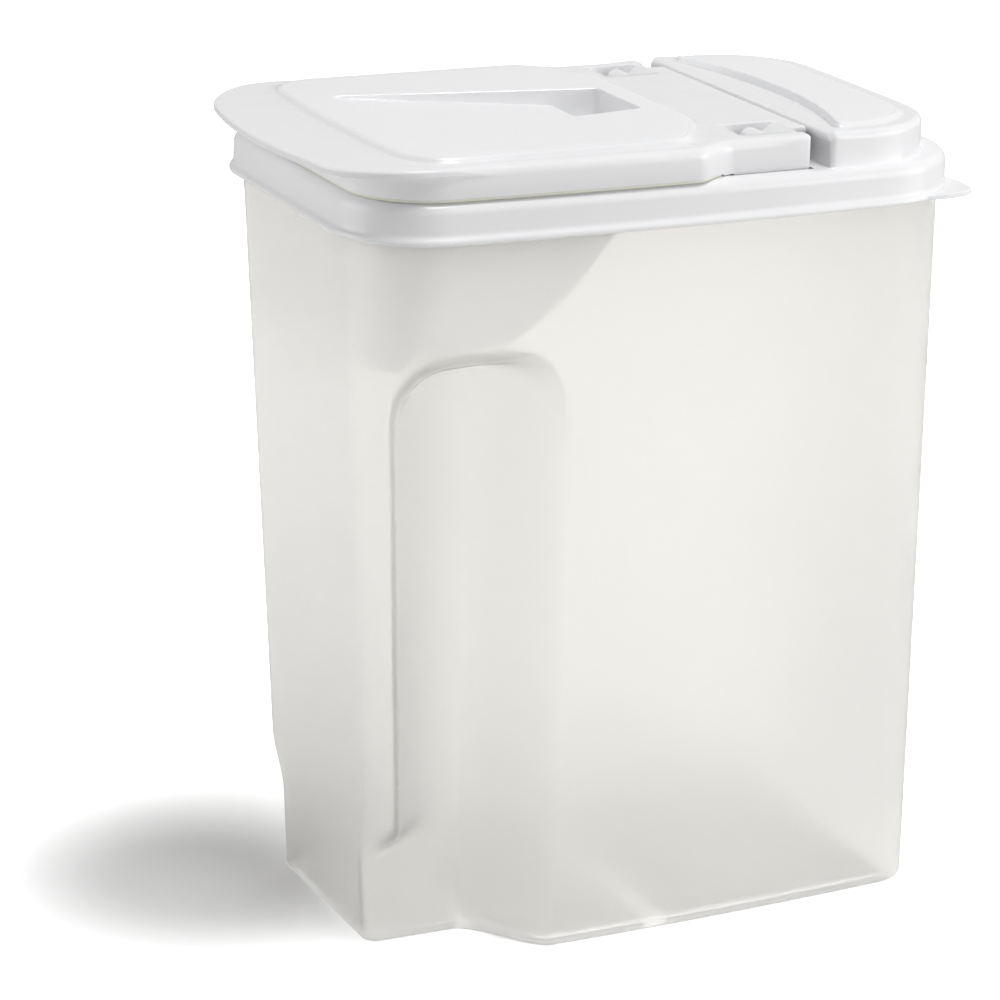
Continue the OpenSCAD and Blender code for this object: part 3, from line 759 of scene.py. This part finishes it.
def flap_edge():
    """The flap's edge all round: the outlines of its skirt and its top.

    With each point goes its share of the lip or tongue, the edge's radius and how far the top drops.
    """
    skirt = skirt_half()
    last = [i for i, p in enumerate(skirt) if p[1] < LIP_CORNER_Y][-1]
    y_last = skirt[last][1]
    length = [0.0]
    for a, b in zip(skirt, skirt[1:last + 1]):
        length.append(length[-1] + math.hypot(b[0] - a[0], b[1] - a[1]))
    top, share = [], []
    for i, (x, y) in enumerate(skirt):
        # The corner of the lip turns gradually into the side wall.
        blend = 0.0 if i <= last else ease((y - y_last) / (LIP_END_Y - y_last))
        if i <= last:
            top.append(lip_point(length[i] / length[-1]))
        else:
            top.append((mix(LIP_W, x, blend), y) if y < LIP_END_Y else (x, y))
        share.append(1.0 if i <= last else 1 - blend)
    radius = [mix(mix(EDGE_R, 1.2, ease((p[1] - TAIL_Y + 12) / 10)), 0.9, v) for p, v in zip(skirt, share)]
    drop = [front_dip(y) for x, y in top]
    for p, q, r, d, v in tail_half():
        skirt.append(p)
        top.append(q)
        radius.append(r)
        drop.append(d)
        share.append(v)

    def both(half):
        return half + half[-2:0:-1]

    return whole(skirt), whole(top), both(share), both(radius), both(drop)


def build_flap_wall(s):
    """The flap's rounded edge, lip and skirt.

    Gives its first ring, in the flap's top, and its last, in the underside.
    """
    skirt, top, share, radius, drop = flap_edge()
    # Lower edge: deeper round the tail, and cut away for each knuckle's arm.
    foot, ceiling = [], []
    for x, y in skirt:
        arm = y > TAIL_Y - 0.5 and abs(abs(x) - KNUCKLE_X) < ARM_GAP
        near_well = PLATE_TOP + 0.15 if y > SEAL_BACK + 0.2 else FLAP_Z
        low = TAIL_SKIRT_Z if y > JOG_Y1 + 0.05 else near_well
        foot.append(UNDER - 0.25 if arm else low)
        ceiling.append(UNDER - 0.25 if arm else 0.0)

    def fillet(deg):
        loop = inset(top, [r * (1 - cosd(deg)) for r in radius])
        return s.ring(loop, [FLAP_TOP - r * (1 - sind(deg)) - d for r, d in zip(radius, drop)])

    def wall(loop, side_drop, lip_drop):
        heights = []
        for v, d, r, low in zip(share, drop, radius, ceiling):
            side_z, lip_z = FLAP_TOP - max(side_drop, d + r + 0.1), FLAP_TOP - lip_drop - min(d, LIP_DIP)
            heights.append(max(low, mix(side_z, lip_z, v)))
        return s.ring(loop, heights)

    def between(part):
        return [mix2(p, q, part * v) for p, q, v in zip(skirt, top, share)]

    rings = [fillet(a) for a in range(90, -1, -10)]
    rings.append(wall(inset(top, [0.1 * v for v in share]), EDGE_R + 0.2, LIP_T - 0.2))
    rings.append(wall(inset(top, [0.6 * v for v in share]), EDGE_R + 0.3, LIP_T))
    rings.append(wall(between(0.25), EDGE_R + 0.5, LIP_T + 0.1))
    rings.append(wall(between(0.06), EDGE_R + 0.7, LIP_T + 0.8))
    rings.append(s.ring(skirt, [max(FLAP_TOP - 4.2, low) for low in foot]))
    for d, up in ((0.0, 0.5), (0.15, 0.15), (0.5, 0.0), (1.8, 0.0)):
        rings.append(s.ring(inset(skirt, d), [min(low + up, UNDER - 0.2) for low in foot]))
    rings.append(s.ring(inset(skirt, 1.8), UNDER - 0.15))
    rings.append(s.ring(inset(skirt, 2.4), UNDER))
    s.skin(rings)
    return rings[0], rings[-1]


def build_panel_edge(s):
    """The soft edge of the flap's raised panel; gives its lowest and highest ring."""
    sags = ((-PANEL_W, 0), (-28, 2.3), (0, 3.0), (28, 2.3), (PANEL_W, 0))
    front = [(x, PANEL_Y0 - sag) for x, sag in sags]
    cut_x, cut_y = PANEL_W - 24, PANEL_Y1 - 14
    back = [(PANEL_W, cut_y), (cut_x, PANEL_Y1), (-cut_x, PANEL_Y1), (-PANEL_W, cut_y)]
    panel = dense(rounded(front + back, [15, 0, 0, 0, 15, 13, 12, 12, 13], 14), 3.0)
    edge = [s.ring(panel, FLAP_TOP)]
    for d, rise in ((0.25, 0.12), (0.6, 0.4), (0.95, 0.7), (1.4, 0.9), (2.0, 1.0)):
        edge.append(s.ring(inset(panel, d), mix(FLAP_TOP, FLAP_PANEL, rise)))
    s.skin(edge)
    return edge[0], edge[-1]


def build_flap_top(s, outer, holes):
    """The flap's top round its panel, with a shallow notch on each side of the tongue."""
    n0, n1, ny = TONGUE_W + 0.3, TONGUE_W + NOTCH_OUT - 0.1, TAIL_Y - NOTCH_L

    def height(x, y):
        across = clamp01((abs(x) - n0 + 0.3) / 0.3) * clamp01((n1 + 0.2 - abs(x)) / 0.2)
        return FLAP_TOP - front_dip(y) - NOTCH_DROP * (across * clamp01((y - ny) / NOTCH_L))

    creases = []
    for side in (-1, 1):
        for x in (n0 - 0.3, n0, n1, n1 + 0.2):
            creases.append([(side * x, mix(ny, TAIL_Y - 1.3, i / 5)) for i in range(6)])
        creases.append([(side * mix(n0 - 0.3, n1 + 0.2, i / 6), ny) for i in range(7)])
    s.sheet(outer, holes, height, 4.0, lines=creases)


def recess_plan(d):
    """The finger recess's outline, grown by d."""
    return [(-RECESS_W0 - d, RECESS_Y0 - d), (RECESS_W0 + d, RECESS_Y0 - d),
            (RECESS_W1 + d, RECESS_Y1 + d), (-RECESS_W1 - d, RECESS_Y1 + d)]


def ramp_z(y):
    """Height of the ramp that leads down to the finger pocket."""
    return FLAP_PANEL - mix(RAMP_START, RAMP_END, clamp01((y - RECESS_Y0) / (POCKET_Y - RECESS_Y0)))


def build_recess(s, panel_ring):
    """Finger recess, a ramp that ends in a deeper pocket, and the panel's flat round it."""
    recess = dense(rounded(recess_plan(0), [1.2, 1.2, 2, 2], 6), 1.5)

    def floor_z(x, y):
        return mix(ramp_z(y), FLAP_PANEL - POCKET_DEPTH, ease((y - POCKET_Y) / 1.2))

    near, low = inset(recess, 0.35), inset(recess, 0.6)
    walls = [s.ring(recess, FLAP_PANEL), s.ring(inset(recess, 0.2), FLAP_PANEL - 0.2),
             s.ring(near, [mix(FLAP_PANEL, floor_z(x, y), 0.8) for x, y in near]),
             s.ring(low, [floor_z(x, y) for x, y in low])]
    s.skin(walls)
    extra = [(x, POCKET_Y + dy) for x in np.arange(-15, 15.1, 1.5) for dy in (-0.1, 0.3, 0.6, 0.9, 1.3)]
    s.sheet(walls[-1], (), floor_z, 3.0, extra=extra, mark=1)
    s.sheet(panel_ring, [walls[0]], lambda x, y: FLAP_PANEL, 5.0, mark=1)


def build_underside(s, outer, holes):
    """The shell below the finger recess, and the flat underside round it."""
    shell = dense(rounded(recess_plan(RECESS_WALL), 2, 5), 2.0)
    top, low = s.ring(shell, UNDER), inset(shell, 0.3)
    step_y = POCKET_Y - 1.8

    def height(x, y):
        return mix(min(UNDER - 0.05, ramp_z(y) - RECESS_WALL), FLAP_Z + 0.3, ease((y - step_y) / 1.2))

    base = s.ring(low, [height(x, y) for x, y in low])
    s.skin([top, base])
    extra = [(x, step_y + dy) for x in np.arange(-17, 17.1, 2) for dy in (-0.1, 0.4, 0.8, 1.3)]
    s.sheet(base, (), height, 3.0, extra=extra)
    s.sheet(outer, holes + [top], lambda x, y: UNDER, 6.0)


def build_flap(materials):
    s = Shell()
    top_ring, under_ring = build_flap_wall(s)
    holes = [build_hole(s, side) for side in (-1, 1)]
    panel_low, panel_high = build_panel_edge(s)
    build_flap_top(s, top_ring, [hole[0] for hole in holes] + [panel_low])
    build_recess(s, panel_high)
    build_underside(s, under_ring, [hole[1] for hole in holes])
    # Rib that presses on the seal's back bar.
    soft_box(s, -52, 52, SEAL_BACK - 2.0, SEAL_BACK - 0.4, FLAP_Z, UNDER + 0.4, 0.2)
    # Cheeks that hold the hinge pins.
    for side in (-1, 1):
        for end in (-1, 1):
            x = side * KNUCKLE_X + end * (KNUCKLE_W / 2 + 3.8)
            soft_box(s, x - 1.8, x + 1.8, HINGE_Y - 3.2, HINGE_Y + 3.2, HINGE_Z - PIN_R - 2, UNDER + 0.4, 0.2)
    return s.make("flap_moulding", materials)


# ---------------------------------------------------------------- materials
def new_material(name, color, rough, **extra):
    """A new material, its node tree and its Principled node."""
    m = bpy.data.materials.new(name)
    m.use_nodes = True
    p = m.node_tree.nodes["Principled BSDF"]
    p.inputs["Base Color"].default_value = (*color, 1)
    p.inputs["Roughness"].default_value = rough
    for k, v in extra.items():
        p.inputs[k.replace("_", " ")].default_value = v
    return m, m.node_tree, p


def feed(tree, socket, value):
    """Sets a socket to a number, or links another socket to it."""
    if isinstance(value, bpy.types.NodeSocket):
        tree.links.new(value, socket)
    else:
        socket.default_value = value


def calc(tree, kind, operation, *values):
    """The first result of a maths node fed with sockets and numbers."""
    n = tree.nodes.new(kind)
    n.operation = operation
    for socket, value in zip(n.inputs, values):
        feed(tree, socket, value)
    return n.outputs[0]


def maths(tree, operation, *values):
    return calc(tree, "ShaderNodeMath", operation, *values)


def spread(tree, value, low, high, start=0.3, end=0.7, kind="LINEAR"):
    """The value's range from start to end, taken to low and high."""
    n = tree.nodes.new("ShaderNodeMapRange")
    n.interpolation_type = kind
    limits = (("From Min", start), ("From Max", end), ("To Min", low), ("To Max", high))
    for name, v in (("Value", value), *limits):
        feed(tree, n.inputs[name], v)
    return n.outputs["Result"]


def noise(tree, scale, detail=3.0, rough=0.5):
    place = tree.nodes.new("ShaderNodeTexCoord").outputs["Object"]
    n = tree.nodes.new("ShaderNodeTexNoise")
    for name, v in (("Vector", place), ("Scale", scale), ("Detail", detail), ("Roughness", rough)):
        feed(tree, n.inputs[name], v)
    return n.outputs["Fac"]


def bump(tree, p, height, strength, distance):
    n = tree.nodes.new("ShaderNodeBump")
    for name, v in (("Strength", strength), ("Distance", distance), ("Height", height)):
        feed(tree, n.inputs[name], v)
    feed(tree, p.inputs["Normal"], n.outputs["Normal"])


def tint(tree, p, value, dark, light):
    n = tree.nodes.new("ShaderNodeMix")
    n.data_type = "RGBA"
    color_a, color_b = 6, 7
    for socket, v in ((0, value), (color_a, (*dark, 1)), (color_b, (*light, 1))):
        feed(tree, n.inputs[socket], v)
    feed(tree, p.inputs["Base Color"], n.outputs[2])


WHITE, WHITE_DARK, WHITE_LIGHT = (0.84, 0.84, 0.85), (0.82, 0.82, 0.83), (0.86, 0.86, 0.87)


def gloss_plastic(name):
    m, tree, p = new_material(name, WHITE, 0.2, IOR=1.49)
    feed(tree, p.inputs["Roughness"], spread(tree, noise(tree, 60), 0.16, 0.26))
    tint(tree, p, noise(tree, 18), WHITE_DARK, WHITE_LIGHT)
    bump(tree, p, noise(tree, 220, 2), 0.05, 0.0003)
    return m


def grained_plastic(name):
    m, tree, p = new_material(name, WHITE, 0.42, IOR=1.49)
    feed(tree, p.inputs["Roughness"], spread(tree, noise(tree, 900, 2), 0.36, 0.5))
    tint(tree, p, noise(tree, 18), WHITE_DARK, WHITE_LIGHT)
    bump(tree, p, noise(tree, 1300, 2, 0.6), 0.35, 0.0004)
    return m


def frosted_plastic(name):
    """Translucent plastic, clearer towards the base."""
    m, tree, p = new_material(name, (0.87, 0.862, 0.845), 0.42, IOR=1.34, Transmission_Weight=0.88)
    place = tree.nodes.new("ShaderNodeSeparateXYZ")
    feed(tree, place.inputs[0], tree.nodes.new("ShaderNodeTexCoord").outputs["Object"])
    frost = spread(tree, place.outputs["Z"], 0.34, 0.62, 0.01, 0.13)
    grain = spread(tree, noise(tree, 40), -0.03, 0.03)
    feed(tree, p.inputs["Roughness"], maths(tree, "ADD", frost, grain))
    tint(tree, p, noise(tree, 9), (0.865, 0.857, 0.837), (0.875, 0.868, 0.853))
    bump(tree, p, noise(tree, 500, 3), 0.06, 0.0002)
    return m


def rubber(name):
    m, tree, p = new_material(name, (0.78, 0.77, 0.68), 0.55, IOR=1.45)
    feed(tree, p.inputs["Roughness"], spread(tree, noise(tree, 300), 0.5, 0.62))
    bump(tree, p, noise(tree, 900, 2), 0.1, 0.0002)
    return m


def satin_plastic(name):
    m, tree, p = new_material(name, (0.82, 0.82, 0.83), 0.34, IOR=1.49)
    feed(tree, p.inputs["Roughness"], spread(tree, noise(tree, 200), 0.3, 0.4))
    bump(tree, p, noise(tree, 700, 2), 0.06, 0.0002)
    return m


FROSTED = frosted_plastic("tub_frosted")
GLOSS = gloss_plastic("lid_gloss")
GRAIN = grained_plastic("lid_grain")
RUBBER = rubber("seal_rubber")
SATIN = satin_plastic("pin_satin")

tub = build_tub([FROSTED])
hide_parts("container_body")
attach(tub, "tub")

lid = build_lid([GLOSS, GRAIN])
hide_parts("lid_frame")
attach(lid, "lid")

flap = build_flap([GLOSS, GRAIN])
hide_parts("flip_lid")
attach(flap, "flap")

for node, material in (("spout_seal", RUBBER), ("hinge_pin_left", SATIN), ("hinge_pin_right", SATIN)):
    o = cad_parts[node]
    o.data.materials.clear()
    o.data.materials.append(material)

# ---------------------------------------------------------------- stage
scene = bpy.context.scene
scene.view_settings.view_transform = "Standard"

# Camera, fitted to the photograph: degrees, millimetres, and pixels of a picture 1000 pixels wide.
AZ, EL, ROLL, DIST = 62.93, 18.35, 1.91, 1101.8
PHOTO, FOCAL, SHIFT_X, SHIFT_Y = 1000.0, 3712.64, 81.82, 4.36
SENSOR = 36.0
CAMERA_AIM, LAMP_AIM = Vector((0, 0, 0.115)), Vector((0, 0, 0.12))
TO_CAMERA = Vector((sind(AZ) * cosd(EL), -cosd(AZ) * cosd(EL), sind(EL)))
RIGHT = Vector((cosd(AZ), sind(AZ), 0))
# Middle of the painted shadow on the floor, where the floor's glow drops towards the part's shadow, in
# metres.
PAINTED_SHADOW_PLACE = (-0.03, -0.11, 0)


def build_camera():
    turn = Matrix(((cosd(ROLL), sind(ROLL), 0), (-sind(ROLL), cosd(ROLL), 0), (0, 0, 1)))
    view = turn @ Matrix((RIGHT, TO_CAMERA.cross(RIGHT), TO_CAMERA))
    cam = bpy.data.objects.new("camera", bpy.data.cameras.new("camera"))
    scene.collection.objects.link(cam)
    cam.matrix_world = Matrix.Translation(CAMERA_AIM + TO_CAMERA * DIST * MM) @ view.transposed().to_4x4()
    cam.data.sensor_width = SENSOR
    cam.data.lens = FOCAL / PHOTO * SENSOR
    cam.data.shift_x = -SHIFT_X / PHOTO
    cam.data.shift_y = SHIFT_Y / PHOTO
    scene.camera = cam


def area_light(name, side_deg, up_deg, distance, size, power):
    """A lamp aimed at the part: degrees to the right of the camera, and above the floor."""
    flat = Vector((TO_CAMERA.x, TO_CAMERA.y, 0)).normalized() * cosd(side_deg) + RIGHT * sind(side_deg)
    place = LAMP_AIM + (flat * cosd(up_deg) + Vector((0, 0, sind(up_deg)))) * distance
    data = bpy.data.lights.new(name, "AREA")
    data.shape = "RECTANGLE"
    data.size, data.size_y = size
    data.energy = power
    ob = bpy.data.objects.new(name, data)
    scene.collection.objects.link(ob)
    ob.location = place
    ob.rotation_euler = (LAMP_AIM - place).to_track_quat("-Z", "Y").to_euler()
    return ob


def build_world():
    """White to the camera and through the tub, weaker in reflections, and weakest as a light."""
    world = bpy.data.worlds.new("studio")
    scene.world = world
    world.use_nodes = True
    tree = world.node_tree
    background = tree.nodes["Background"]
    background.inputs["Color"].default_value = (1, 1, 1, 1)
    ray = tree.nodes.new("ShaderNodeLightPath").outputs
    seen = maths(tree, "MAXIMUM", ray["Is Camera Ray"], ray["Is Transmission Ray"])
    bright = maths(tree, "MAXIMUM", seen, maths(tree, "MULTIPLY", ray["Is Glossy Ray"], 0.55))
    feed(tree, background.inputs["Strength"], spread(tree, bright, 0.22, 1.0, 0.0, 1.0))


def build_floor():
    """White floor that glows a little, with painted shade and painted light in its glow: a painted shadow
    where the glow drops round the part's shadow, and painted light glowing evenly under the tub's base.
    """
    half = 3.0
    corners = [(-half, -half, 0), (half, -half, 0), (half, half, 0), (-half, half, 0)]
    mesh = bpy.data.meshes.new("floor")
    mesh.from_pydata(corners, [], [(0, 1, 2, 3)])
    ob = bpy.data.objects.new("floor", mesh)
    scene.collection.objects.link(ob)
    m, tree, p = new_material("floor_white", (0.84, 0.84, 0.84), 0.9)
    spot = tree.nodes.new("ShaderNodeTexCoord").outputs["Object"]

    def box_reach(y0, y1, half_w):
        """1 at the edge of a box on the floor, less inside it; in millimetres."""
        middle, scale = (0, (y0 + y1) / 2 * MM, 0), (1 / (half_w * MM), 2 / ((y1 - y0) * MM), 0)
        off = calc(tree, "ShaderNodeVectorMath", "SUBTRACT", spot, middle)
        off = calc(tree, "ShaderNodeVectorMath", "ABSOLUTE", off)
        axes = tree.nodes.new("ShaderNodeSeparateXYZ")
        feed(tree, axes.inputs[0], calc(tree, "ShaderNodeVectorMath", "MULTIPLY", off, scale))
        return maths(tree, "MAXIMUM", axes.outputs["X"], axes.outputs["Y"])

    # Painted light: under the tub's base the floor glows evenly at 0.52, brightening the tub's lower part
    # seen through its walls.
    base_y0, base_y1 = -TUB_LEN / 2 + FRONT_LEAN, TUB_LEN / 2 - BACK_LEAN
    behind = box_reach(-GRIP_FRONT, base_y1, TUB_W / 2 - SIDE_LEAN)
    nose = box_reach(base_y0, -GRIP_FRONT + 6, GRIP_WAIST / 2)
    below = maths(tree, "MINIMUM", behind, nose)
    # Painted shadow: the floor's glow drops from 0.8 to 0.04 towards the middle of the part's shadow.
    away = tree.nodes.new("ShaderNodeVectorMath")
    away.operation = "DISTANCE"
    feed(tree, away.inputs[0], spot)
    feed(tree, away.inputs[1], PAINTED_SHADOW_PLACE)
    shadow = spread(tree, away.outputs["Value"], 0.04, 0.8, 0.02, 0.095, "SMOOTHSTEP")
    painted_floor_glow = spread(tree, below, 0.52, shadow, 0.84, 0.98, "SMOOTHSTEP")
    ray = tree.nodes.new("ShaderNodeLightPath").outputs
    eye = maths(tree, "MAXIMUM", ray["Is Camera Ray"], ray["Is Transmission Ray"])
    p.inputs["Emission Color"].default_value = (1, 1, 1, 1)
    feed(tree, p.inputs["Emission Strength"], maths(tree, "MULTIPLY", eye, painted_floor_glow))
    mesh.materials.append(m)
    return ob


build_camera()
area_light("key", 46, 74, 1.6, (0.6, 0.6), 14.5)
area_light("side", 80, 12, 1.5, (1.1, 1.1), 10.8)
area_light("fill", -80, 14, 1.5, (1.1, 1.1), 8.5)
area_light("rear", 175, 30, 1.3, (1.4, 1.0), 3).visible_glossy = False
build_world()
floor = build_floor()
